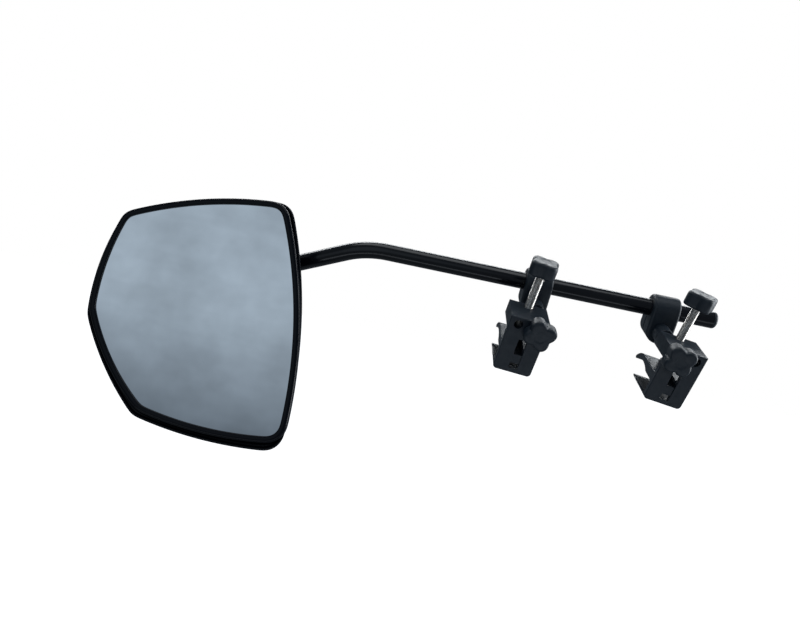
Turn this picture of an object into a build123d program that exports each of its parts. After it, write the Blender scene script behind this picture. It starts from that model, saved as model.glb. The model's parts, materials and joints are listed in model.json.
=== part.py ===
"""Clip-on towing mirror: a mirror head on a bent tube arm, held by two screw clamps.

Millimetres. +X runs along the straight arm towards its free end, +Y points away from
the side that the glass faces, +Z is up. The origin is on the arm tube's axis, midway
between the two collars.
"""
from build123d import *
from math import radians, tan
import os

# ---------------------------------------------------------------- arm
TUBE_R = 8.0
TUBE_WALL = 1.5
ARM_FREE_END = 108.5                      # free end of the tube, right of the origin
ARM_BEND = Vector(-228.8, 0, 0)           # where the two straight runs would meet
ARM_BEND_R = 85.0                         # bend radius of the tube's axis
BALL_CENTRE = Vector(-382.4, 50.9, -63.7)
BALL_R = 12.0
NECK_R = 4.0
NECK_END = 30.0                           # from the ball's centre along the arm
STUD_FLANGE = 3.0
PLUG_LENGTH = 22.0
PIN_R = 1.5
FIT = 0.05                                # radial clearance of a turning or sliding fit

# ---------------------------------------------------------------- clamps
BOLT_SPACING = 122.6                      # between the two swivel bolts, along the tube
COLLAR_R = 13.5
COLLAR_WIDTH = 26.0
COLLAR_EDGE = 2.6                         # rounding of the collar's edges
BOLT_DROP = 18.0                          # swivel bolt's axis below the tube's axis
SPLIT = 1.6                               # slit between the collar's two ears
BOSS_R = 8.5                              # round boss between collar and clamp body
BOSS_FRONT = -28.9
INSERT_R = 5.5
INSERT_FRONT = 3.5
INSERT_BACK = 12.6
BODY_BACK = -29.2
BODY_FRONT = -66.3
BODY_WIDTH = 35.7
BODY_HEIGHT = 54.7
BODY_TOP = -11.2
BODY_EDGE = 1.0                           # rounding of the clamp body's edges
EDGE_TO_BOLT = 8.5                        # near side of the body to the swivel bolt
BODY_BACK_EDGE = 1.6                      # softer rounding of its upper back edges
BODY_CORNER = 3.5                         # rounding of its lower corners
HEAD_BLOCK = 13.2                         # height of the body's solid top block
PLATE = 4.9                               # thickness of the front plate
LOWER_JAW_DEPTH = 43.0
LOWER_JAW = 2.6
LIP = 0.8                                 # raised end of the lower jaw
LIP_DEPTH = 3.0
SLOT_WIDTH = 8.6
SLOT_TOP = 20.5                           # below the body's top
SLOT_BOTTOM = 50.0
SLOT_CLEARANCE = 0.2                      # each side of the jaw's tongue
TONGUE_TOP = 36.3
TONGUE_BOTTOM = 45.0
SCREW_SETBACK = 30.0                      # clamp screw's axis behind the front face
SCREW_R = 4.0
SCREW_NUT_R = 5.3
SCREW_SHOWN = 32.7                        # bright screw between body and knob
SCREW_TIP = 33.2                          # below the body's top
JAW_SIDE_GAP = 1.5
JAW_FRONT = 5.5
JAW_TOP = 30.7
JAW_BOTTOM = 39.0
CLAW_START = (26.3, JAW_BOTTOM)           # (behind the front face, below the body's top)
CLAW_HOLLOW = (41.0, 35.6)
CLAW_HEEL = (56.8, 39.8)
CLAW_POINT = (59.5, 41.3)
CLAW_TIP = (61.9, 40.0)
CLAW_BACK = (54.6, 33.4)
CLAW_TOP = (42.9, JAW_TOP)
SCREW_BOSS_R = 7.0                        # the jaw's boss round the clamp screw
SCREW_BOSS_TOP = 24.5
SCREW_BOSS_BOTTOM = 32.0
WINDOW_HALF = 3.9                         # window in the jaw, in front of the screw
PAD = 1.2
PIN_GROOVE = 0.9
JAW_PIN_R = 1.2
JAW_PIN_DOWN = 28.3                       # below the body's top

KNOB_HUB_R = 10.0
KNOB_LOBE_R = 4.8
KNOB_LOBE_AT = 10.0
KNOB_HEIGHT = 13.6
KNOB_VALLEY = 3.0                         # rounding between the lobes
KNOB_TOP_EDGE = 2.8
KNOB_BOTTOM_EDGE = 2.2
BOLT_IN_KNOB = 9.0
WASHER_R = 8.0
WASHER = 1.4
WASHER_GAP = 0.1
KNOB_GAP = 0.3

LINER = 1.0                               # nylon sleeve between tube and collar
LINER_SPLIT = 1.5

# tilt of each clamp round the tube and swing round its swivel bolt, then how far the
# knobs of the clamp screw and the swivel bolt are turned, degrees
CLAMPS = {
    "inner": dict(at=-BOLT_SPACING / 2, side=-1, tilt=25.4, swing=4.6, screw_turn=34, bolt_turn=24),
    "outer": dict(at=BOLT_SPACING / 2, side=1, tilt=22.5, swing=7.7, screw_turn=12, bolt_turn=40),
}

# ---------------------------------------------------------------- head
# The head is drawn in its own frame: origin at the ball's centre, x to the right,
# y away from the glass side, z up. It is then pitched and rolled into place.
HEAD_PITCH = -8.0
HEAD_ROLL = -11.8
GLASS_FRONT = -66.0
GLASS = 3.0
FOAM = 1.0
BACKING = 1.5
BEZEL_PROUD = 2.0
BEZEL_WIDTH = 6.3
BEZEL_BACK = GLASS_FRONT + GLASS + FOAM + BACKING
SHELL_WALL = 2.5
SHELL_RIM_BACK = -56.0
SHELL_BACK = -38.0
DOME = ((BEZEL_BACK, 1.0), (SHELL_RIM_BACK, 0.99), (-46.0, 0.83), (SHELL_BACK, 0.55))
GLASS_CORNERS = [(-61, 51), (83, 59), (84.5, -154.5), (-40.5, -126), (-87.5, -35.5)]
GLASS_BULGES = [7.5, 13.0, 6.2, 6.0, 4.5]
GLASS_RADII = [5, 11, 12, 8, 14]
SHELL_CORNERS = [(-68, 56.5), (92, 65), (85.5, -168.5), (-51, -135), (-98, -41)]
SHELL_BULGES = [9.0, 14.8, 6.4, 5.0, 6.0]
SHELL_RADII = [9, 17, 18, 10, 16]
FLANGE_HALF = 30.0
FLANGE = 4.0
FLANGE_CORNER = 8.0
BASE_HALF = 22.0
BASE_CORNER = 6.0
PLATE_HALF = 29.0
SPREADER = 2.0
BASE_SCREW_AT = 24.0
SOCKET_SCREW_AT = 17.0
SOCKET_SCREW_TIP = -14.0
SMALL_SCREW_R = 2.0
SMALL_HEAD_R = 3.6
SMALL_HEAD = 2.4
SOCKET_SPLIT = 0.3
CAP_BACK = 19.0
SEAT_WALL = 2.0
OPENING_HALF_ANGLE = 31.5
OPENING_LEAN = 4.0


# ---------------------------------------------------------------- helpers
def block(x0, x1, y0, y1, z0, z1):
    """A box between two corners."""
    return Pos((x0 + x1) / 2, (y0 + y1) / 2, (z0 + z1) / 2) * Box(x1 - x0, y1 - y0, z1 - z0)


def rod_x(radius, x0, x1, y=0.0, z=0.0):
    return Pos((x0 + x1) / 2, y, z) * Rot(0, 90, 0) * Cylinder(radius, x1 - x0)


def rod_y(radius, y0, y1, x=0.0, z=0.0):
    return Pos(x, (y0 + y1) / 2, z) * Rot(90, 0, 0) * Cylinder(radius, y1 - y0)


def rod_z(radius, z0, z1, x=0.0, y=0.0):
    return Pos(x, y, (z0 + z1) / 2) * Cylinder(radius, z1 - z0)


def save(name, shape):
    """Write one node; its solids stay separate."""
    solids = shape.solids()
    body = solids[0] if len(solids) == 1 else Compound(children=list(solids))
    body.label = name
    export_step(body, f"parts/{name}.step")


def knob():
    """Four-lobed hand knob standing on z = 0."""
    outline = Circle(KNOB_HUB_R)
    for turn in range(4):
        outline += Rot(0, 0, 90 * turn) * Pos(KNOB_LOBE_AT, 0) * Circle(KNOB_LOBE_R)
    outline = fillet(outline.vertices(), KNOB_VALLEY)
    body = extrude(outline, KNOB_HEIGHT)
    body = fillet(body.edges().group_by(Axis.Z)[-1], KNOB_TOP_EDGE)
    return fillet(body.edges().group_by(Axis.Z)[0], KNOB_BOTTOM_EDGE)


# ---------------------------------------------------------------- arm
def arm_direction():
    """Unit vector from the ball's centre along the arm's short run."""
    return (ARM_BEND - BALL_CENTRE).normalized()


def arm_frame():
    """Location at the ball's centre with +Z along the arm's short run."""
    return Location(Plane(origin=BALL_CENTRE, z_dir=arm_direction()))


def make_arm():
    start = BALL_CENTRE + arm_direction() * (NECK_END + STUD_FLANGE)
    path = FilletPolyline(start, ARM_BEND, Vector(ARM_FREE_END, 0, 0), radius=ARM_BEND_R)
    section = Plane(origin=start, z_dir=arm_direction()) * (
        Circle(TUBE_R) - Circle(TUBE_R - TUBE_WALL)
    )
    tube = sweep(section, path)
    pin_at = NECK_END + STUD_FLANGE + PLUG_LENGTH / 2
    pin = arm_frame() * Pos(0, 0, pin_at) * Rot(0, 90, 0) * Cylinder(PIN_R, 2 * TUBE_R)
    bore = TUBE_R - TUBE_WALL
    plug_end = NECK_END + STUD_FLANGE + PLUG_LENGTH
    stud = Sphere(BALL_R) + rod_z(NECK_R, 0, NECK_END + 1)
    stud += rod_z(TUBE_R, NECK_END, NECK_END + STUD_FLANGE)
    stud += rod_z(bore - FIT, NECK_END, plug_end)
    stud = arm_frame() * stud
    cap = rod_x(TUBE_R, ARM_FREE_END, ARM_FREE_END + 4)
    cap = fillet(cap.edges().group_by(Axis.X)[-1], 3.0)
    cap += rod_x(bore - FIT, ARM_FREE_END - 12, ARM_FREE_END + 1)
    save("arm_tube", tube - pin)
    save("ball_stud", stud - pin)
    save("stud_pin", pin)
    save("end_cap", cap)


# ---------------------------------------------------------------- head
def head_place():
    return Pos(*BALL_CENTRE) * Rot(0, HEAD_ROLL, 0) * Rot(HEAD_PITCH, 0, 0)


def outline(corners, bulges, radii, grow=0.0, scale_by=1.0):
    """Five bowed sides with rounded corners, as a face in the x-z plane (y = 0)."""
    sides = []
    for index, corner in enumerate(corners):
        p = Vector(*corner)
        q = Vector(*corners[(index + 1) % len(corners)])
        along = (q - p).normalized()
        middle = (p + q) / 2 + Vector(-along.Y, along.X) * bulges[index]
        sides.append(ThreePointArc(p, middle, q))
    face = make_face(sides)
    for corner, radius in zip(corners, radii):
        vertex = face.vertices().sort_by_distance(Vector(*corner))[0]
        face = fillet(vertex, radius)
    if grow:
        face = offset(face, grow)
    if scale_by != 1.0:
        face = scale(face, scale_by)
    return face


def glass_outline(grow=0.0):
    return outline(GLASS_CORNERS, GLASS_BULGES, GLASS_RADII, grow)


def shell_outline(grow=0.0, scale_by=1.0):
    return outline(SHELL_CORNERS, SHELL_BULGES, SHELL_RADII, grow, scale_by)


def slab(face, y0, y1):
    """Extrude a face of the x-y plane into the head frame between two depths."""
    return Pos(0, y1, 0) * Rot(90, 0, 0) * extrude(face, y1 - y0)


def bowl(grow, back_grow):
    """The shell's domed volume, grown by a wall thickness for the inside."""
    sections = []
    for depth, size in DOME:
        y = depth + (back_grow if depth > SHELL_RIM_BACK else 0)
        face = shell_outline(grow, size)
        sections.append(Pos(0, y, 0) * Rot(90, 0, 0) * face)
    return loft(sections)


def ring_of_screws(at, tip, seat):
    """Four screws along y at (+-at, +-at), heads standing on the seat's +y side."""
    group = []
    for x in (-at, at):
        for z in (-at, at):
            shank = rod_y(SMALL_SCREW_R, tip, seat, x, z)
            group.append(shank + rod_y(SMALL_HEAD_R, seat, seat + SMALL_HEAD, x, z))
    return group


def make_head():
    place = head_place()
    glass_back = GLASS_FRONT + GLASS
    foam_back = glass_back + FOAM
    bezel_front = GLASS_FRONT - BEZEL_PROUD
    recess = glass_outline(2.0)
    save("mirror_glass", place * slab(glass_outline(1.8), GLASS_FRONT, glass_back))
    save("glass_foam", place * slab(glass_outline(-4.0), glass_back, foam_back))
    save("glass_backing", place * slab(glass_outline(1.8), foam_back, BEZEL_BACK))

    bezel = slab(glass_outline(BEZEL_WIDTH), bezel_front, BEZEL_BACK)
    bezel = fillet(bezel.edges().group_by(Axis.Y)[0], 2.6)
    bezel -= slab(glass_outline(), bezel_front - 1, GLASS_FRONT + 1)
    bezel -= slab(recess, GLASS_FRONT, BEZEL_BACK + 1)
    save("bezel", place * bezel)

    shell = bowl(0.0, 0.0)
    hollow = bowl(-SHELL_WALL, -SHELL_WALL)
    ledge = slab(shell_outline(-1.0), BEZEL_BACK, BEZEL_BACK + 2) - slab(
        glass_outline(-3.0), BEZEL_BACK - 1, BEZEL_BACK + 3
    )
    shell = (shell - hollow) + ledge
    for x in (-BASE_SCREW_AT, BASE_SCREW_AT):
        for z in (-BASE_SCREW_AT, BASE_SCREW_AT):
            shell -= rod_y(SMALL_SCREW_R + 0.2, SHELL_BACK - 6, SHELL_BACK + 1, x, z)
    save("head_shell", place * shell)

    for name, shape in make_socket().items():
        save(name, place * shape)


def opening_cone():
    """Cone that the stud's neck may swing in, in the head's frame."""
    arm_local = Axis(head_place().inverse() * arm_frame()).direction
    leaning = arm_local.rotate(Axis.Z, OPENING_LEAN)
    reach = 60.0
    mouth = reach * tan(radians(OPENING_HALF_ANGLE))
    along = Location(Plane(origin=(0, 0, 0), z_dir=leaning))
    return along * Pos(0, 0, reach / 2) * Cone(0.01, mouth, reach)


def make_socket():
    """Two-piece ball socket on the back of the head, in the head's frame."""
    opening = opening_cone()
    recess = Sphere(BALL_R + FIT + SEAT_WALL + FIT)
    flange_back = SHELL_BACK + FLANGE
    plate_back = SHELL_BACK - SHELL_WALL
    base = block(-FLANGE_HALF, FLANGE_HALF, SHELL_BACK, flange_back, -FLANGE_HALF, FLANGE_HALF)
    base = fillet(base.edges().filter_by(Axis.Y), FLANGE_CORNER)
    post = block(-BASE_HALF, BASE_HALF, SHELL_BACK, -SOCKET_SPLIT, -BASE_HALF, BASE_HALF)
    base += fillet(post.edges().filter_by(Axis.Y), BASE_CORNER)
    cap = block(-BASE_HALF, BASE_HALF, SOCKET_SPLIT, CAP_BACK, -BASE_HALF, BASE_HALF)
    cap = fillet(cap.edges().filter_by(Axis.Y), BASE_CORNER)
    cap = fillet(cap.edges().group_by(Axis.Y)[-1], 2.5)
    base -= recess + opening
    cap -= recess + opening
    socket_screws = ring_of_screws(SOCKET_SCREW_AT, SOCKET_SCREW_TIP, CAP_BACK)
    plate = block(
        -PLATE_HALF, PLATE_HALF, plate_back - SPREADER, plate_back, -PLATE_HALF, PLATE_HALF
    )
    base_screws = ring_of_screws(BASE_SCREW_AT, plate_back - 2 * SPREADER, flange_back)
    for screw in socket_screws:
        base -= screw
        cap -= screw
    for screw in base_screws:
        base -= screw
        plate -= screw
    return {
        "socket_base": base,
        "socket_cap": cap,
        "socket_screws": Compound(children=socket_screws),
        "spreader_plate": plate,
        "base_screws": Compound(children=base_screws),
    }


def make_seats():
    """Nylon seats between ball and socket, round like the ball so that each can turn."""
    inner = Sphere(BALL_R + FIT)
    wall = Sphere(BALL_R + FIT + SEAT_WALL) - inner
    ring = wall & rod_z(BALL_R + SEAT_WALL + 1, -2.5, 8.0)
    cup = wall & rod_z(BALL_R + SEAT_WALL + 1, -BALL_R - SEAT_WALL - 1, -8.5)
    save("seat_ring", arm_frame() * ring)
    save("seat_cup", arm_frame() * cup)


# ---------------------------------------------------------------- clamps
# A clamp is drawn upright, in front of the tube: origin on the tube's axis in line
# with the swivel bolt, -y towards the front, z up. It is then tilted round the tube.
def make_collar():
    """Strap over the tube with two ears, which the swivel bolt draws together."""
    half = COLLAR_WIDTH / 2
    side_view = rod_x(COLLAR_R, -half, half)
    side_view += block(-half, half, -COLLAR_R, COLLAR_R, -BOLT_DROP - half, 0)
    front_view = block(-half, half, -COLLAR_R, COLLAR_R, -BOLT_DROP, COLLAR_R)
    front_view += rod_y(half, -COLLAR_R, COLLAR_R, 0, -BOLT_DROP)
    collar = side_view & front_view
    collar = fillet(collar.edges(), COLLAR_EDGE)
    boss = rod_y(BOSS_R, BOSS_FRONT, -COLLAR_R + 1, 0, -BOLT_DROP)
    collar += fillet(boss.edges().group_by(Axis.Y)[0], 0.8)
    collar -= rod_x(TUBE_R + 2 * FIT + LINER, -half, half)
    collar -= block(-half, half, -SPLIT / 2, SPLIT / 2, -BOLT_DROP - half - 1, -TUBE_R)
    collar -= rod_y(SCREW_R + FIT, BOSS_FRONT - 1, COLLAR_R, 0, -BOLT_DROP)
    collar -= rod_y(INSERT_R, INSERT_FRONT, COLLAR_R + 1, 0, -BOLT_DROP)
    return collar


def make_liner():
    """Split sleeve that slides on the tube and that the collar turns on."""
    half = COLLAR_WIDTH / 2
    liner = rod_x(TUBE_R + FIT + LINER, -half, half) - rod_x(TUBE_R + FIT, -half, half)
    gap = LINER_SPLIT / 2
    return liner - block(-half, half, 0, TUBE_R + 2 * LINER, -gap, gap)


def body_span(side):
    """Left, middle and right of the clamp body along x."""
    near = -side * EDGE_TO_BOLT
    far = side * (BODY_WIDTH - EDGE_TO_BOLT)
    return min(near, far), (near + far) / 2, max(near, far)


def side_point(back, down):
    """Point of the side view, from (behind the front face, below the body's top)."""
    return (BODY_FRONT + back, BODY_TOP - down)


def side_profile(line, left, right):
    """Extrude a closed line of the side view from left to right."""
    return Pos(left, 0, 0) * extrude(Plane.YZ * make_face(line), right - left)


def make_body(side):
    left, middle, right = body_span(side)
    depth = BODY_BACK - BODY_FRONT
    floor = BODY_HEIGHT - LOWER_JAW
    lip_front = LOWER_JAW_DEPTH - LIP_DEPTH
    points = [
        (0, 0), (depth, 0), (depth, HEAD_BLOCK), (PLATE, HEAD_BLOCK), (PLATE, floor),
        (lip_front, floor), (lip_front, floor - LIP), (LOWER_JAW_DEPTH, floor - LIP),
        (LOWER_JAW_DEPTH, BODY_HEIGHT), (0, BODY_HEIGHT),
    ]
    line = Polyline(*[side_point(*point) for point in points], close=True)
    body = side_profile(line, left, right)
    corners = body.edges().filter_by(Axis.Y).group_by(Axis.Z)[0]
    body = fillet(corners, BODY_CORNER)
    body = fillet(body.faces().sort_by(Axis.Y)[0].edges(), BODY_EDGE)
    back_face = body.faces().filter_by(Axis.Y).sort_by(Axis.Z)[-1]
    upper_back = back_face.edges().filter_by(Axis.Z) + back_face.edges().group_by(Axis.Z)[-1]
    body = fillet(upper_back, BODY_BACK_EDGE)
    half_slot = SLOT_WIDTH / 2
    body -= block(
        middle - half_slot, middle + half_slot, BODY_FRONT - 1, BODY_FRONT + PLATE + 1,
        BODY_TOP - SLOT_BOTTOM, BODY_TOP - SLOT_TOP,
    )
    block_bottom = BODY_TOP - HEAD_BLOCK
    screw_y = BODY_FRONT + SCREW_SETBACK
    for x in (0, 2 * middle):
        body -= rod_y(SCREW_R + 0.2, BODY_FRONT - 1, BODY_BACK + 1, x, -BOLT_DROP)
    body -= rod_z(SCREW_R + 0.3, block_bottom - 1, BODY_TOP + 1, middle, screw_y)
    nut = rod_z(SCREW_NUT_R, block_bottom, BODY_TOP - 1.5, middle, screw_y)
    body -= nut
    nut -= rod_z(SCREW_R + FIT, block_bottom - 1, BODY_TOP, middle, screw_y)
    jaw_back = BODY_FRONT + LOWER_JAW_DEPTH
    pad_bottom = BODY_TOP - floor
    pad = block(
        left + 2, right - 2, BODY_FRONT + 9, jaw_back - LIP_DEPTH - 1,
        pad_bottom, pad_bottom + PAD,
    )
    return {"clamp_body": body, "screw_nut": nut, "lower_pad": pad}


def make_jaw(side):
    """Claw-shaped jaw that the clamp screw carries up and down."""
    left, middle, right = body_span(side)
    left += JAW_SIDE_GAP
    right -= JAW_SIDE_GAP
    screw_y = BODY_FRONT + SCREW_SETBACK
    square_end = [CLAW_TOP, (JAW_FRONT, JAW_TOP), (JAW_FRONT, JAW_BOTTOM), CLAW_START]
    line = Polyline(*[side_point(*point) for point in square_end])
    line += ThreePointArc(*[side_point(*point) for point in (CLAW_START, CLAW_HOLLOW, CLAW_HEEL)])
    line += Polyline(*[side_point(*point) for point in (CLAW_HEEL, CLAW_POINT, CLAW_TIP)])
    line += ThreePointArc(*[side_point(*point) for point in (CLAW_TIP, CLAW_BACK, CLAW_TOP)])
    jaw = side_profile(line, left, right)
    jaw = fillet(jaw.edges().filter_by(Axis.X).group_by(Axis.Y)[-1], 0.8)
    jaw += rod_z(
        SCREW_BOSS_R, BODY_TOP - SCREW_BOSS_BOTTOM, BODY_TOP - SCREW_BOSS_TOP, middle, screw_y
    )
    half_tongue = SLOT_WIDTH / 2 - SLOT_CLEARANCE
    jaw += block(
        middle - half_tongue, middle + half_tongue, BODY_FRONT + 1, BODY_FRONT + 7,
        BODY_TOP - TONGUE_BOTTOM, BODY_TOP - TONGUE_TOP,
    )
    jaw -= block(
        middle - WINDOW_HALF, middle + WINDOW_HALF, BODY_FRONT + 5, screw_y,
        BODY_TOP - TONGUE_TOP, BODY_TOP - 20,
    )
    jaw -= rod_z(SCREW_R + FIT, BODY_TOP - SCREW_TIP - 0.3, BODY_TOP - 20, middle, screw_y)
    pin_y = screw_y + SCREW_R - PIN_GROOVE + JAW_PIN_R + FIT
    pin_z = BODY_TOP - JAW_PIN_DOWN
    pin = rod_x(JAW_PIN_R, middle - 6, middle + 6, pin_y, pin_z)
    jaw -= pin
    pad = block(
        left + 1, right - 1, BODY_FRONT + 8, BODY_FRONT + CLAW_START[0],
        BODY_TOP - JAW_BOTTOM - PAD, BODY_TOP - JAW_BOTTOM,
    )
    return {"moving_jaw": jaw, "upper_pad": pad, "jaw_pin": pin}


def make_screw(side, screw_turn):
    """Clamp screw with its knob; the jaw's pin runs in the groove near its tip."""
    middle = body_span(side)[1]
    screw_y = BODY_FRONT + SCREW_SETBACK
    shown_top = BODY_TOP + SCREW_SHOWN
    groove_z = BODY_TOP - JAW_PIN_DOWN
    reach = JAW_PIN_R + 0.3
    screw = rod_z(SCREW_R, BODY_TOP - SCREW_TIP, shown_top + BOLT_IN_KNOB, middle, screw_y)
    screw -= rod_z(SCREW_R + 1, groove_z - reach, groove_z + reach, middle, screw_y)
    screw += rod_z(SCREW_R - PIN_GROOVE, groove_z - reach, groove_z + reach, middle, screw_y)
    grip = Pos(middle, screw_y, shown_top) * Rot(0, 0, screw_turn) * knob()
    return {"clamp_screw": screw, "screw_knob": grip - screw}


def make_swivel(bolt_turn):
    washer_back = BODY_FRONT - WASHER_GAP
    knob_back = BODY_FRONT - WASHER - KNOB_GAP
    bolt = rod_y(SCREW_R, knob_back - BOLT_IN_KNOB, INSERT_BACK - 1, 0, -BOLT_DROP)
    washer = rod_y(WASHER_R, washer_back - WASHER, washer_back, 0, -BOLT_DROP)
    grip = Pos(0, knob_back, -BOLT_DROP) * Rot(90, 0, 0) * Rot(0, 0, bolt_turn) * knob()
    insert = rod_y(INSERT_R, INSERT_FRONT, INSERT_BACK, 0, -BOLT_DROP)
    hole = rod_y(SCREW_R + FIT, knob_back, COLLAR_R + 1, 0, -BOLT_DROP)
    return {
        "swivel_bolt": bolt,
        "swivel_washer": washer - hole,
        "swivel_knob": grip - bolt,
        "ear_insert": insert - hole,
    }


def make_clamp(name, at, side, tilt, swing, screw_turn, bolt_turn):
    collar_place = Pos(at, 0, 0) * Rot(tilt, 0, 0)
    bolt_axis = Pos(0, 0, -BOLT_DROP)
    body_place = collar_place * bolt_axis * Rot(0, swing, 0) * bolt_axis.inverse()
    save(f"{name}_collar", collar_place * make_collar())
    save(f"{name}_liner", collar_place * make_liner())
    for part, shape in make_swivel(bolt_turn).items():
        place = collar_place if part == "ear_insert" else body_place
        save(f"{name}_{part}", place * shape)
    for pieces in (make_body(side), make_jaw(side), make_screw(side, screw_turn)):
        for part, shape in pieces.items():
            save(f"{name}_{part}", body_place * shape)


os.makedirs("parts", exist_ok=True)
make_arm()
make_seats()
make_head()
for clamp_name, setting in CLAMPS.items():
    make_clamp(clamp_name, **setting)
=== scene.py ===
"""Looks of the clip-on towing mirror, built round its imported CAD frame. Metres."""
import json
import math

import bmesh
import bpy
from mathutils import Matrix, Vector
from mathutils.geometry import convex_hull_2d

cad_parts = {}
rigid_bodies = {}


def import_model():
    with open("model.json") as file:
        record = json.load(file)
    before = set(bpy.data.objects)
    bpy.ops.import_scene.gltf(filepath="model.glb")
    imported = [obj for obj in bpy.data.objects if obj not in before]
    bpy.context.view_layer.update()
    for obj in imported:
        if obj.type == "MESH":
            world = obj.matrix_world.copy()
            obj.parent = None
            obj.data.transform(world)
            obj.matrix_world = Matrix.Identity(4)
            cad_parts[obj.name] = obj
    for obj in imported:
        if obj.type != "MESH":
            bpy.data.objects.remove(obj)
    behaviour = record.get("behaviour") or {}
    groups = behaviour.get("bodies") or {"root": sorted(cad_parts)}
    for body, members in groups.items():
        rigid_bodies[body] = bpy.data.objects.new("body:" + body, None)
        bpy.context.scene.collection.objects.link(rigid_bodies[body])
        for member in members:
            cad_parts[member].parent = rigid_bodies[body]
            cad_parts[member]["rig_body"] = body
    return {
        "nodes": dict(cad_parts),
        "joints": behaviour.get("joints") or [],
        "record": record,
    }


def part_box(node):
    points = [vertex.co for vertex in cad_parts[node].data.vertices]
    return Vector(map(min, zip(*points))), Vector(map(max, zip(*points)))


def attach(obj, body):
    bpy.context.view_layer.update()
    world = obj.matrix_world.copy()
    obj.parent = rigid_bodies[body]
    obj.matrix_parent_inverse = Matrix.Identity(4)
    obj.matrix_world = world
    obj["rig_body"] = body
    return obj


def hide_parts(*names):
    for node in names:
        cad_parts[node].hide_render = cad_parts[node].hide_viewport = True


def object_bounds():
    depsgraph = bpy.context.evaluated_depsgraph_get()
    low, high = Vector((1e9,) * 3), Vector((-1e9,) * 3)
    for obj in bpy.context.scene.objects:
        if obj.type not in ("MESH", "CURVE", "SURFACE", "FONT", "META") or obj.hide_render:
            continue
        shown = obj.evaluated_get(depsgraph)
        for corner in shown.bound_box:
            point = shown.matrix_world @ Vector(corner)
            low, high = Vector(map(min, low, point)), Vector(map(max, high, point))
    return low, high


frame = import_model()
cad_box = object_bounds()
MM = 0.001
TURN = 2 * math.pi
JOINTS = {joint["name"]: joint for joint in frame["joints"]}

# ---------------------------------------------------------------- camera
CAMERA_AT = Vector((-0.1837, -0.670, -0.0582))
CAMERA_ROLL = math.radians(11.8)
LENS = 31.5


def make_camera():
    data = bpy.data.cameras.new("camera")
    data.lens = LENS
    data.sensor_width = 36.0
    camera = bpy.data.objects.new("camera", data)
    bpy.context.scene.collection.objects.link(camera)
    right = Vector((math.cos(CAMERA_ROLL), 0, math.sin(CAMERA_ROLL)))
    up = Vector((-math.sin(CAMERA_ROLL), 0, math.cos(CAMERA_ROLL)))
    back = Vector((0, -1, 0))
    turned = Matrix((right, up, back)).transposed().to_4x4()
    camera.matrix_world = Matrix.Translation(CAMERA_AT) @ turned
    bpy.context.scene.camera = camera


# ---------------------------------------------------------------- node helpers
class Shader:
    """A Principled material with short calls for the nodes that feed it."""

    def __init__(self, name, color, roughness, metallic=0.0, **constants):
        self.material = bpy.data.materials.new(name)
        self.material.use_nodes = True
        self.tree = self.material.node_tree
        self.surface = self.tree.nodes["Principled BSDF"]
        self.set("Base Color", (*color, 1))
        self.set("Roughness", roughness)
        self.set("Metallic", metallic)
        for key, value in constants.items():
            self.set(key.replace("_", " "), value)
        self.where = self.node("ShaderNodeTexCoord").outputs["Object"]

    def set(self, socket, value):
        self.surface.inputs[socket].default_value = value

    def node(self, kind, **settings):
        made = self.tree.nodes.new(kind)
        for key, value in settings.items():
            setattr(made, key, value)
        return made

    def link(self, out, socket):
        self.tree.links.new(out, socket)

    def feed(self, out, socket):
        self.link(out, self.surface.inputs[socket])

    def noise(self, scale, detail=3.0, roughness=0.5, stretch=None):
        """Noise over the row frame; scale is in waves per metre."""
        texture = self.node("ShaderNodeTexNoise")
        texture.inputs["Scale"].default_value = scale
        texture.inputs["Detail"].default_value = detail
        texture.inputs["Roughness"].default_value = roughness
        source = self.where
        if stretch:
            mapping = self.node("ShaderNodeMapping")
            mapping.inputs["Scale"].default_value = stretch
            self.link(self.where, mapping.inputs["Vector"])
            source = mapping.outputs["Vector"]
        self.link(source, texture.inputs["Vector"])
        return texture.outputs["Fac"]

    def ramp(self, value, low, high, start, end):
        """Map value from low..high to start..end, numbers or colours."""
        made = self.node("ShaderNodeValToRGB")
        made.color_ramp.elements[0].position = low
        made.color_ramp.elements[1].position = high
        for element, target in zip(made.color_ramp.elements, (start, end)):
            shade = (target,) * 3 if isinstance(target, float) else target
            element.color = (*shade, 1)
        self.link(value, made.inputs["Fac"])
        return made.outputs["Color"]

    def mix(self, factor, first, second, blend="MIX"):
        made = self.node("ShaderNodeMix", data_type="RGBA", blend_type=blend)
        for source, socket in ((factor, 0), (first, 6), (second, 7)):
            if isinstance(source, (int, float)):
                made.inputs[socket].default_value = source
            elif isinstance(source, tuple):
                made.inputs[socket].default_value = (*source, 1)
            else:
                self.link(source, made.inputs[socket])
        return made.outputs[2]

    def bump(self, height, distance, strength):
        made = self.node("ShaderNodeBump")
        made.inputs["Strength"].default_value = strength
        made.inputs["Distance"].default_value = distance
        self.link(height, made.inputs["Height"])
        return made.outputs["Normal"]

    def edges(self, radius):
        """1 along sharp edges, 0 on flats, from how a bevelled normal leans."""
        bevel = self.node("ShaderNodeBevel", samples=4)
        bevel.inputs["Radius"].default_value = radius
        flat = self.node("ShaderNodeNewGeometry").outputs["Normal"]
        dot = self.node("ShaderNodeVectorMath", operation="DOT_PRODUCT")
        self.link(bevel.outputs["Normal"], dot.inputs[0])
        self.link(flat, dot.inputs[1])
        return self.ramp(dot.outputs["Value"], 0.80, 0.985, 1.0, 0.0)


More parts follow.
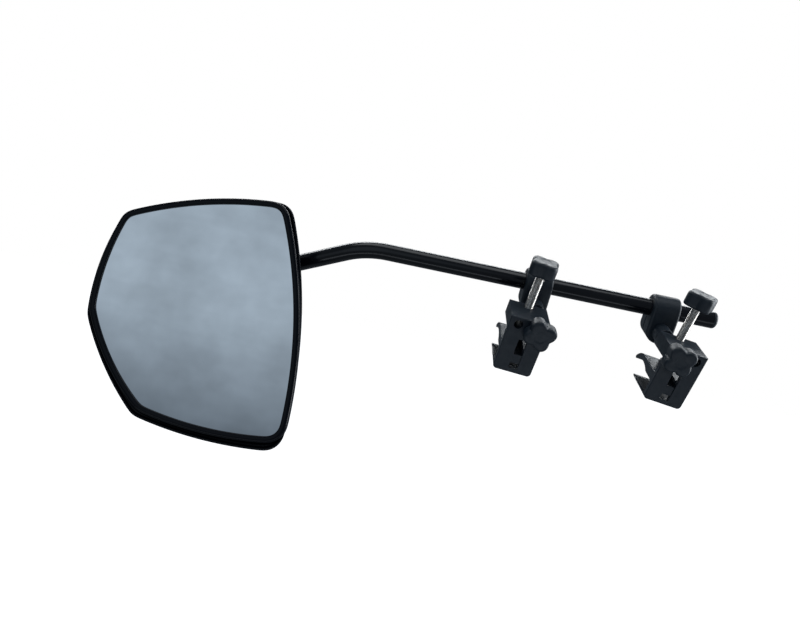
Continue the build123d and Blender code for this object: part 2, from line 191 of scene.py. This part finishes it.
# ---------------------------------------------------------------- materials
def moulded_black(name, color, worn, rough, grain, depth):
    """Black moulding: fine spark-eroded grain, faint dust, edges rubbed smoother."""
    made = Shader(name, color, rough[0])
    fine = made.noise(grain, 2.0, 0.6)
    broad = made.noise(45, 4.0, 0.6)
    rubbed = made.noise(420, 4.0, 0.7)
    edge = made.edges(0.7 * MM)
    wear = made.mix(1.0, edge, made.ramp(rubbed, 0.40, 0.62, 0.0, 1.0), "MULTIPLY")
    tone = made.mix(broad, tuple(0.78 * c for c in color), tuple(1.25 * c for c in color))
    made.feed(made.mix(wear, tone, worn), "Base Color")
    dull = made.ramp(made.noise(160, 5.0, 0.65), 0.3, 0.72, rough[0], rough[1])
    made.feed(made.mix(wear, dull, (rough[0] - 0.08,) * 3), "Roughness")
    made.feed(made.bump(fine, depth, 0.55), "Normal")
    return made.material


def gloss_black(name, color, rough, shine, coat, ripple):
    """Polished or powder-coated black with a slight orange peel and handling marks."""
    made = Shader(name, color, rough, Specular_IOR_Level=shine, Coat_Weight=coat, Coat_Roughness=0.08)
    haze = made.noise(55, 5.0, 0.62)
    made.feed(made.ramp(haze, 0.35, 0.75, rough, rough + 0.13), "Roughness")
    dust = made.ramp(made.noise(900, 3.0, 0.7), 0.66, 0.78, 0.0, 0.35)
    made.feed(made.mix(dust, color, tuple(c + 0.02 for c in color)), "Base Color")
    peel = made.noise(ripple, 1.0, 0.4)
    made.feed(made.bump(peel, 0.02 * MM, 0.2), "Normal")
    return made.material


def mirror_silver():
    """Silvered glass; a painted reflection of an overcast sky, its fade and clouds, is painted into
    its tint.
    """
    made = Shader("mirror_silver", (0.36, 0.42, 0.50), 0.05, 1.0)
    split = made.node("ShaderNodeSeparateXYZ")
    made.link(made.where, split.inputs["Vector"])
    low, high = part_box("mirror_glass")
    height = made.node("ShaderNodeMapRange")
    height.inputs["From Min"].default_value = low.z
    height.inputs["From Max"].default_value = high.z
    made.link(split.outputs["Z"], height.inputs["Value"])
    # painted reflection: a sky's fade, darker towards the bottom, with clouds and streaks, put into
    # the glass's colour
    painted_sky_reflection = made.ramp(height.outputs["Result"], 0.02, 0.50, (0.35, 0.38, 0.41), (0.86, 0.91, 0.95))
    painted_cloud_reflection = made.ramp(made.noise(17, 3.0, 0.55), 0.30, 0.72, 0.84, 1.12)
    painted_streak_reflection = made.ramp(made.noise(30, 2.0, 0.5, (0.5, 1.0, 1.6)), 0.35, 0.65, 0.95, 1.04)
    made.feed(made.mix(1.0, made.mix(1.0, painted_sky_reflection, painted_cloud_reflection, "MULTIPLY"), painted_streak_reflection, "MULTIPLY"), "Base Color")
    made.feed(made.ramp(made.noise(70, 5.0, 0.6), 0.4, 0.8, 0.04, 0.10), "Roughness")
    return made.material


def metal(name, color, rough, brush, stain_and_reflection_tint=None):
    """Plated or turned metal: fine marks round or along it and small stains; a given tint colours the
    stains, and on the bright screw its brown is painted reflection as well as stain.
    """
    made = Shader(name, color, rough, 1.0)
    marks = made.noise(brush, 3.0, 0.6, (1.0, 1.0, 0.12))
    stain_and_reflection_patches = made.noise(260, 4.0, 0.7)
    stain_and_reflection_colour = tuple(0.72 * c for c in color) if stain_and_reflection_tint is None else stain_and_reflection_tint
    made.feed(made.mix(made.ramp(stain_and_reflection_patches, 0.45, 0.72, 0.0, 0.8), color, stain_and_reflection_colour), "Base Color")
    made.feed(made.ramp(marks, 0.3, 0.7, rough, rough + 0.16), "Roughness")
    made.feed(made.bump(marks, 0.02 * MM, 0.4), "Normal")
    return made.material


def ribbed_rubber(name, color, rough):
    made = Shader(name, color, rough, Sheen_Weight=0.12)
    bloom = made.noise(120, 5.0, 0.65)
    pale = tuple(2.1 * c for c in color)
    made.feed(made.mix(made.ramp(bloom, 0.4, 0.75, 0.0, 0.6), color, pale), "Base Color")
    made.feed(made.bump(made.noise(2600, 2.0, 0.6), 0.05 * MM, 0.6), "Normal")
    return made.material


def make_materials():
    """One material for each material slot of the record."""
    return {
        "black_tube": gloss_black("powder_coat", (0.0035, 0.0045, 0.0075), 0.14, 0.30, 0.2, 700),
        "head_plastic": gloss_black("gloss_moulding", (0.0020, 0.0030, 0.0060), 0.15, 0.12, 0.06, 420),
        "body_plastic": moulded_black(
            "textured_moulding", (0.0055, 0.0125, 0.0215), (0.026, 0.038, 0.054),
            (0.40, 0.56), 3200, 0.06 * MM
        ),
        "knob_plastic": moulded_black(
            "satin_moulding", (0.0060, 0.0130, 0.0220), (0.030, 0.042, 0.058),
            (0.36, 0.50), 4200, 0.04 * MM
        ),
        "nylon": moulded_black(
            "black_nylon", (0.010, 0.011, 0.013), (0.03, 0.03, 0.03), (0.30, 0.42), 2400, 0.03 * MM
        ),
        "glass": mirror_silver(),
        "rubber": ribbed_rubber("pad_rubber", (0.016, 0.018, 0.020), 0.78),
        "foam": ribbed_rubber("foam_tape", (0.03, 0.03, 0.03), 0.95),
        # the brown patches on the bright screw are painted brownish reflection as well as stain
        "bright_screw": metal("bright_plate", (0.62, 0.60, 0.57), 0.16, 1500, (0.30, 0.25, 0.21)),
        "zinc": metal("zinc_plate", (0.58, 0.59, 0.60), 0.28, 1300),
        "steel": metal("turned_steel", (0.50, 0.50, 0.51), 0.30, 1800),
        "brass": metal("turned_brass", (0.60, 0.44, 0.20), 0.26, 1500),
    }


def paint_nodes(materials):
    slots = {part["node"]: part["material_slot"] for part in frame["record"]["subparts"]}
    for name, node in frame["nodes"].items():
        node.data.materials.clear()
        node.data.materials.append(materials[slots[name]])


# ---------------------------------------------------------------- mesh helpers
AROUND = 96                               # points round a turned piece
LOBE_TIP = 0.93                           # share of the reach that counts as a lobe's tip


def circle(radius):
    return [radius * MM] * AROUND


def hexagon(across_flats):
    """Radii of a hexagon, for a socket in a screw head."""
    radii = []
    for step in range(AROUND):
        off = (TURN * step / AROUND) % (TURN / 6) - TURN / 12
        radii.append(across_flats / 2 * MM / math.cos(off))
    return radii


def lobed(inset):
    """Radii of the knob's four broad lobes, drawn in by inset."""
    radii = []
    for step in range(AROUND):
        swell = (0.5 + 0.5 * math.cos(4 * TURN * step / AROUND)) ** LOBE_FULLNESS
        radii.append((KNOB_VALLEY_R + (KNOB_TIP_R - KNOB_VALLEY_R) * swell - inset) * MM)
    return radii


def turned(bm, rings, place):
    """Add a closed body made of rings, each a list of radii and a height in millimetres."""
    loops = []
    for radii, height in rings:
        loop = []
        for step, radius in enumerate(radii):
            angle = TURN * step / len(radii)
            point = Vector((radius * math.cos(angle), radius * math.sin(angle), height * MM))
            loop.append(bm.verts.new(place @ point))
        loops.append(loop)
    for low, high in zip(loops, loops[1:]):
        for i in range(len(low)):
            j = (i + 1) % len(low)
            bm.faces.new((low[i], low[j], high[j], high[i]))
    bm.faces.new(reversed(loops[0]))
    bm.faces.new(loops[-1])


def finish_piece(bm, name, material, node, levels=0):
    """Turn the mesh into a smooth piece that rides on the node's body in its stead."""
    bmesh.ops.recalc_face_normals(bm, faces=bm.faces)
    mesh = bpy.data.meshes.new(name)
    bm.to_mesh(mesh)
    bm.free()
    mesh.shade_smooth()
    mesh.materials.append(material)
    piece = bpy.data.objects.new(name, mesh)
    bpy.context.scene.collection.objects.link(piece)
    if levels:
        smoother = piece.modifiers.new("smooth", "SUBSURF")
        smoother.levels = levels
        smoother.render_levels = levels
    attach(piece, frame["nodes"][node]["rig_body"])
    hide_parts(node)
    return piece


def points_of(node):
    return [vertex.co.copy() for vertex in frame["nodes"][node].data.vertices]


def frame_on_axis(node, joint_name, lobes=0):
    """Place with its origin at the node's near end, z along the joint's axis and, where
    the node has lobes, x through one of them; and the node's length in millimetres."""
    joint = JOINTS[joint_name]
    z = Vector(joint["axis"]).normalized()
    on_axis = Vector(joint["pos_m"])
    x = z.orthogonal().normalized()
    y = z.cross(x)
    offsets = [point - on_axis for point in points_of(node)]
    heights = [offset.dot(z) for offset in offsets]
    if lobes:
        reach = max((offset - offset.dot(z) * z).length for offset in offsets)
        sine = cosine = 0.0
        for offset in offsets:
            if (offset - offset.dot(z) * z).length > LOBE_TIP * reach:
                angle = lobes * math.atan2(offset.dot(y), offset.dot(x))
                sine += math.sin(angle)
                cosine += math.cos(angle)
        phase = math.atan2(sine, cosine) / lobes
        x = math.cos(phase) * x + math.sin(phase) * y
        y = z.cross(x)
    place = Matrix((x, y, z)).transposed().to_4x4()
    place.translation = on_axis + min(heights) * z
    return place, (max(heights) - min(heights)) / MM


# ---------------------------------------------------------------- knobs and screws
KNOB_TIP_R = 14.75
KNOB_VALLEY_R = 10.6
LOBE_FULLNESS = 0.7                       # below 1 broadens the lobes
# the knob's section, from its bore round to its face
KNOB_BORE = ((4.05, 0.6), (4.4, 0.05), (6.2, 0.05), (6.7, 0.5), (6.8, 1.7))  # radius, height
KNOB_UNDER = (                            # inset from the lobes, height
    (2.7, 1.7), (2.3, 1.2), (2.1, 0.25), (1.5, 0.05), (0.7, 0.35), (0.15, 1.2), (0, 2.6),
)
KNOB_TOP = ((0, 3.0), (0.2, 1.6), (0.9, 0.6), (2.1, 0.08), (3.4, 0.02))  # inset, below the top
KNOB_DISH = ((5.6, 0.05), (5.1, 0.3), (4.5, 0.38), (0.6, 0.38))  # radius, below the top
THREAD_PITCH = 1.25
THREAD_DEPTH = 0.42
THREAD_FLAT = 0.25                        # widens the root, so that the crests are flat
THREAD_FIT = 0.02                         # crests below the screw's full radius
SCREW_R = 4.0
SCREW_END_R = 2.9                         # where the chamfer at each end starts
SCREW_GROOVE_R = 3.1
SCREW_GROOVE = (3.4, 6.4)                 # above the screw's tip
RINGS_PER_PITCH = 8
SMALL_SCREW_R = 2.0
SMALL_HEAD_R = 3.55
SMALL_HEAD = 2.35
SMALL_HEAD_EDGE = 0.15
SMALL_SOCKET = 3.0                        # across flats
SMALL_SOCKET_DEPTH = 1.5
# small screws: tip and head's seat along the head's depth, and distance each way from the ball
BASE_SCREWS = (-44.5, -34.0, 24.0)
SOCKET_SCREWS = (-14.0, 19.0, 17.0)
SCREW_SHARP = math.radians(35)


def make_knob(node, joint_name, material):
    """Lobed hand knob with rounded rims, a moulded hollow under it and a dished face."""
    place, height = frame_on_axis(node, joint_name, lobes=4)
    rings = [(circle(radius), up) for radius, up in KNOB_BORE]
    rings += [(lobed(inset), up) for inset, up in KNOB_UNDER]
    rings.append((lobed(0), height / 2))
    rings += [(lobed(inset), height - down) for inset, down in KNOB_TOP]
    rings += [(circle(radius), height - down) for radius, down in KNOB_DISH]
    bm = bmesh.new()
    turned(bm, rings, place)
    finish_piece(bm, node + "_moulded", material, node, levels=1)


def thread_radius(height, step, length):
    """Radius of a thread with flat crests, chamfered at the tip and necked for the pin."""
    phase = (height / THREAD_PITCH - step / AROUND) % 1.0
    cut = max(0.0, math.sin(TURN * phase) + THREAD_FLAT) / (1 + THREAD_FLAT)
    radius = SCREW_R - THREAD_FIT - THREAD_DEPTH * cut
    if SCREW_GROOVE[0] < height < SCREW_GROOVE[1]:
        radius = SCREW_GROOVE_R
    return min(radius, SCREW_END_R + height, SCREW_END_R + length - height) * MM


def make_clamp_screw(node, joint_name, material):
    """Clamp screw with a helical thread all along it, apart from the pin's groove."""
    place, length = frame_on_axis(node, joint_name)
    count = int(length / THREAD_PITCH * RINGS_PER_PITCH)
    rings = []
    for ring in range(count + 1):
        height = length * ring / count
        rings.append(([thread_radius(height, step, length) for step in range(AROUND)], height))
    bm = bmesh.new()
    turned(bm, rings, place)
    finish_piece(bm, node + "_threaded", material, node)


def make_small_screws(node, tip, seat, at, material):
    """Four socket-head screws on the back of the head, at (+-at, +-at) round the ball."""
    end = tip - seat
    rings = [
        (circle(0.4), end), (circle(1.5), end), (circle(SMALL_SCREW_R), end + 0.6),
        (circle(SMALL_SCREW_R), 0), (circle(SMALL_HEAD_R - SMALL_HEAD_EDGE), 0),
        (circle(SMALL_HEAD_R), 0.2), (circle(SMALL_HEAD_R), SMALL_HEAD - 0.5),
        (circle(SMALL_HEAD_R - SMALL_HEAD_EDGE), SMALL_HEAD - SMALL_HEAD_EDGE),
        (circle(SMALL_HEAD_R - 0.5), SMALL_HEAD),
        (circle(SMALL_SOCKET / 2 + 0.45), SMALL_HEAD),
        (hexagon(SMALL_SOCKET), SMALL_HEAD - SMALL_HEAD_EDGE),
        (hexagon(SMALL_SOCKET), SMALL_HEAD - SMALL_SOCKET_DEPTH),
        (circle(0.3), SMALL_HEAD - 1.7),
    ]
    upright = Matrix.Rotation(-TURN / 4, 4, "X")
    bm = bmesh.new()
    for x in (-at, at):
        for z in (-at, at):
            stand = Matrix.Translation(Vector((x, seat, z)) * MM) @ upright
            turned(bm, rings, head_place() @ stand)
    piece = finish_piece(bm, node + "_socket_head", material, node)
    piece.data.set_sharp_from_angle(angle=SCREW_SHARP)


# ---------------------------------------------------------------- head
HEAD_PITCH = math.radians(-8.0)
HEAD_ROLL = math.radians(-11.8)
RIM_STEPS = 360
SMOOTHINGS = 6                            # evens out the frame's facets
GLASS_LAP = 1.8                           # glass hidden behind the bezel's inner edge
GLASS_FRONT = -66.0                       # depths in the head's frame
SHELL_FRONT = -60.5
SHELL_SHOULDER = -56.5                    # behind it the inner face is a wall further forward
SHELL_WALL = 2.5
SLICE = 0.05                              # how near to a depth a point has to be
# the bead's section: outwards from the visible glass, then depth in the head's frame
BEAD = (
    (0.0, -65.95), (0.05, -66.9), (0.45, -67.55), (1.2, -67.9), (2.4, -68.0), (3.6, -67.95),
    (4.7, -67.6), (5.6, -66.85), (6.1, -65.8), (6.25, -64.4), (6.25, -60.7), (6.1, -60.5),
    (2.3, -60.5), (2.1, -60.7), (2.1, -65.95),
)
# the shell's outer sections: share of the rim's outline, drawn in by, depth
DOME = (
    (1.0, 1.1, -60.5), (1.0, 0.35, -60.3), (1.0, 0.0, -59.5), (0.999, 0.0, -58.2),
    (0.99, 0.0, -56.0), (0.966, 0.0, -53.4), (0.925, 0.0, -50.4), (0.88, 0.0, -48.1),
    (0.83, 0.0, -46.0), (0.76, 0.0, -43.5), (0.69, 0.0, -41.3), (0.62, 0.0, -39.5),
    (0.58, 0.0, -38.6), (0.54, 0.0, -38.1), (0.50, 0.0, -38.0), (0.02, 0.0, -38.0),
)


def head_turn():
    return Matrix.Rotation(HEAD_ROLL, 4, "Y") @ Matrix.Rotation(HEAD_PITCH, 4, "X")


def head_place():
    return Matrix.Translation(Vector(JOINTS["head_tilt"]["pos_m"])) @ head_turn()


def rim_outline(node, depth):
    """Evenly spaced outline, in millimetres, of the node's outer edge at a depth of the head."""
    back = head_place().inverted()
    local = [(back @ point) / MM for point in points_of(node)]
    near = [Vector((point.x, point.z)) for point in local if abs(point.y - depth) < SLICE]
    hull = [near[i] for i in convex_hull_2d(near)]
    middle = sum(hull, Vector((0, 0))) / len(hull)
    hull.sort(key=lambda point: math.atan2(point.y - middle.y, point.x - middle.x))
    loop = spaced(hull)
    for _ in range(SMOOTHINGS):
        loop = [(loop[i - 1] + 2 * p + loop[(i + 1) % len(loop)]) / 4 for i, p in enumerate(loop)]
    return loop


def spaced(loop):
    """The closed loop again, with RIM_STEPS points at equal distances."""
    lengths = [(loop[(i + 1) % len(loop)] - p).length for i, p in enumerate(loop)]
    pace = sum(lengths) / RIM_STEPS
    points, i, passed = [], 0, 0.0
    for step in range(RIM_STEPS):
        while passed + lengths[i] < step * pace:
            passed += lengths[i]
            i += 1
        share = (step * pace - passed) / lengths[i]
        points.append(loop[i].lerp(loop[(i + 1) % len(loop)], share))
    return points


def grown(loop, distance):
    """The loop moved outwards by a distance."""
    moved = []
    for i, point in enumerate(loop):
        along = (loop[(i + 1) % len(loop)] - loop[i - 1]).normalized()
        moved.append(point + Vector((along.y, -along.x)) * distance)
    return moved


def band(bm, loops, closed):
    """Faces between loops of points in the head's frame, and back to the first if closed."""
    place = head_place()
    made = []
    for loop, depth in loops:
        made.append([bm.verts.new(place @ (Vector((p.x, depth, p.y)) * MM)) for p in loop])
    pairs = list(zip(made, made[1:]))
    if closed:
        pairs.append((made[-1], made[0]))
    for first, second in pairs:
        for i in range(len(first)):
            j = (i + 1) % len(first)
            bm.faces.new((first[i], first[j], second[j], second[i]))
    return made


def make_bezel(material):
    """Glossy bead round the glass, rounded on its outer side."""
    glass_edge = grown(rim_outline("mirror_glass", GLASS_FRONT), -GLASS_LAP)
    bm = bmesh.new()
    band(bm, [(grown(glass_edge, out), depth) for out, depth in BEAD], closed=True)
    finish_piece(bm, "bezel_bead", material, "bezel")


def make_shell(material):
    """Domed back of the head with a rounded front edge, hollow behind the glass."""
    rim = rim_outline("head_shell", SHELL_FRONT)
    outer = [([p * size for p in grown(rim, -inset)], depth) for size, inset, depth in DOME]
    inner = [
        (
            grown([p * size for p in rim], -SHELL_WALL),
            depth - (SHELL_WALL if depth > SHELL_SHOULDER else 0),
        )
        for size, _, depth in reversed(DOME[3:-1])
    ]
    inner.append((grown(rim, -SHELL_WALL), SHELL_FRONT))
    bm = bmesh.new()
    loops = band(bm, inner + outer, closed=False)
    bm.faces.new(loops[0])
    bm.faces.new(loops[-1])
    finish_piece(bm, "head_shell_domed", material, "head_shell")


# ---------------------------------------------------------------- rubber pads
RIB_PITCH = 1.9
RIB_DEPTH = 0.45
RIB_STEPS = 8
PAD_ROUND = 0.35
PAD_SHARP = math.radians(50)


def make_ribbed_pad(node, clamp, rib_side, material):
    """Rubber mat with rounded ribs across the jaw; rib_side is 1 up or -1 down."""
    z = Vector(JOINTS[clamp + "_jaw_slide"]["axis"]).normalized()
    y = Vector(JOINTS[clamp + "_swivel"]["axis"]).normalized()
    x = y.cross(z)
    turn = Matrix((x, y, z))
    local = [turn @ point for point in points_of(node)]
    low = Vector([min(point[i] for point in local) for i in range(3)])
    high = Vector([max(point[i] for point in local) for i in range(3)])
    face, back = (high.z, low.z) if rib_side > 0 else (low.z, high.z)
    ribs = round((high.y - low.y) / (RIB_PITCH * MM))
    outline = []
    for step in range(ribs * RIB_STEPS + 1):
        share = step / (ribs * RIB_STEPS)
        dip = abs(math.cos(math.pi * ribs * share)) ** 3
        outline.append((low.y + share * (high.y - low.y), face - rib_side * dip * RIB_DEPTH * MM))
    outline += [(high.y, back), (low.y, back)]
    middle_y, middle_z = (low.y + high.y) / 2, (low.z + high.z) / 2
    ends = []
    soften = PAD_ROUND * MM
    sections = (
        (low.x, PAD_ROUND), (low.x + soften, 0), (high.x - soften, 0), (high.x, PAD_ROUND),
    )
    for across, shrink in sections:
        keep_y = 1 - 2 * shrink * MM / (high.y - low.y)
        keep_z = 1 - shrink * MM / (high.z - low.z)
        ends.append([
            Vector((
                across, middle_y + (py - middle_y) * keep_y, middle_z + (pz - middle_z) * keep_z
            ))
            for py, pz in outline
        ])
    bm = bmesh.new()
    back_turn = turn.transposed()
    loops = [[bm.verts.new(back_turn @ point) for point in end] for end in ends]
    for first, second in zip(loops, loops[1:]):
        for i in range(len(first)):
            j = (i + 1) % len(first)
            bm.faces.new((first[i], first[j], second[j], second[i]))
    bm.faces.new(reversed(loops[0]))
    bm.faces.new(loops[-1])
    piece = finish_piece(bm, node + "_ribbed", material, node)
    piece.data.set_sharp_from_angle(angle=PAD_SHARP)


def make_pieces(materials):
    for clamp in ("inner", "outer"):
        make_knob(clamp + "_screw_knob", clamp + "_screw_spin", materials["knob_plastic"])
        make_knob(clamp + "_swivel_knob", clamp + "_swivel_spin", materials["knob_plastic"])
        make_clamp_screw(clamp + "_clamp_screw", clamp + "_screw_spin", materials["bright_screw"])
        make_ribbed_pad(clamp + "_lower_pad", clamp, 1, materials["rubber"])
        make_ribbed_pad(clamp + "_upper_pad", clamp, -1, materials["rubber"])
    make_bezel(materials["head_plastic"])
    make_shell(materials["head_plastic"])
    make_small_screws("base_screws", *BASE_SCREWS, materials["zinc"])
    make_small_screws("socket_screws", *SOCKET_SCREWS, materials["zinc"])


# ---------------------------------------------------------------- stage and light
STAGE_REACH = 40.0
STAGE_DROP = 0.9                          # floor below the mirror
ROOM_LIGHT = 0.17                         # dim room all round
WINDOW_LIGHT = 0.50                       # bright wall in front, to the left
WINDOW_SIDE = Vector((-0.36, -0.91, 0.19)).normalized()
WINDOW_EDGE = (0.84, 0.955)               # cosines from its middle, where it fades to the room
WINDOW_TINT = (0.76, 0.88, 1.0, 1)


def make_floor():
    """A pale floor well below the mirror, lit from within so that it stays even."""
    white = Shader(
        "stage_white", (0.93, 0.93, 0.93), 0.9,
        Emission_Color=(1, 1, 1, 1), Emission_Strength=1.0,
    )
    grain = white.noise(6, 2.0, 0.5)
    white.feed(white.mix(grain, (0.92, 0.92, 0.92), (0.94, 0.94, 0.94)), "Base Color")
    reach = STAGE_REACH
    z = cad_box[0][2] - STAGE_DROP
    mesh = bpy.data.meshes.new("floor")
    corners = [(-reach, -reach, z), (reach, -reach, z), (reach, reach, z), (-reach, reach, z)]
    mesh.from_pydata(corners, [], [(0, 1, 2, 3)])
    mesh.materials.append(white.material)
    floor = bpy.data.objects.new("floor", mesh)
    bpy.context.scene.collection.objects.link(floor)
    floor.visible_diffuse = False
    floor.visible_glossy = False


def make_world():
    """White where the camera sees it; a dim room with one bright side for everything else."""
    world = bpy.data.worlds.new("studio")
    bpy.context.scene.world = world
    world.use_nodes = True
    tree = world.node_tree
    background = tree.nodes["Background"]
    where = tree.nodes.new("ShaderNodeTexCoord").outputs["Generated"]
    lean = tree.nodes.new("ShaderNodeVectorMath")
    lean.operation = "DOT_PRODUCT"
    lean.inputs[1].default_value = WINDOW_SIDE
    tree.links.new(where, lean.inputs[0])
    spread = tree.nodes.new("ShaderNodeMapRange")
    spread.interpolation_type = "SMOOTHSTEP"
    spread.inputs["From Min"].default_value = WINDOW_EDGE[0]
    spread.inputs["From Max"].default_value = WINDOW_EDGE[1]
    spread.inputs["To Min"].default_value = ROOM_LIGHT
    spread.inputs["To Max"].default_value = WINDOW_LIGHT
    tree.links.new(lean.outputs["Value"], spread.inputs["Value"])
    seen = tree.nodes.new("ShaderNodeLightPath").outputs["Is Camera Ray"]
    strength = tree.nodes.new("ShaderNodeMix")
    tree.links.new(seen, strength.inputs["Factor"])
    tree.links.new(spread.outputs["Result"], strength.inputs["A"])
    strength.inputs["B"].default_value = 1.0
    stain_and_reflection_tint = tree.nodes.new("ShaderNodeMix")
    stain_and_reflection_tint.data_type = "RGBA"
    tree.links.new(seen, stain_and_reflection_tint.inputs["Factor"])
    stain_and_reflection_tint.inputs[6].default_value = WINDOW_TINT
    stain_and_reflection_tint.inputs[7].default_value = (1, 1, 1, 1)
    tree.links.new(stain_and_reflection_tint.outputs[2], background.inputs["Color"])
    tree.links.new(strength.outputs["Result"], background.inputs["Strength"])


def softbox(name, at, towards, size, power, color):
    data = bpy.data.lights.new(name, "AREA")
    data.shape = "RECTANGLE"
    data.size, data.size_y = size
    data.energy = power
    data.color = color
    lamp = bpy.data.objects.new(name, data)
    bpy.context.scene.collection.objects.link(lamp)
    lamp.location = at
    lamp.rotation_euler = (Vector(towards) - Vector(at)).to_track_quat("-Z", "Y").to_euler()
    lamp.visible_camera = False


def make_lights():
    """Strips along the arm for its two long highlights, and a large soft top light."""
    arm = (-0.1, 0, 0)
    softbox("top", (-0.25, -0.25, 1.3), arm, (1.6, 0.8), 7, (0.93, 0.97, 1.0))
    softbox("rim_strip", (-0.1, 0.95, 0.80), arm, (2.2, 0.18), 11, (0.95, 0.98, 1.0))
    softbox("low_strip", (-0.1, -0.62, -0.80), arm, (2.2, 0.22), 1.5, (0.85, 0.92, 1.0))
    softbox("right", (1.4, 0.10, 0.30), arm, (0.9, 1.5), 26, (0.92, 0.96, 1.0))


bpy.context.scene.view_settings.view_transform = "Standard"
make_camera()
make_floor()
make_world()
make_lights()
materials = make_materials()
paint_nodes(materials)
make_pieces(materials)
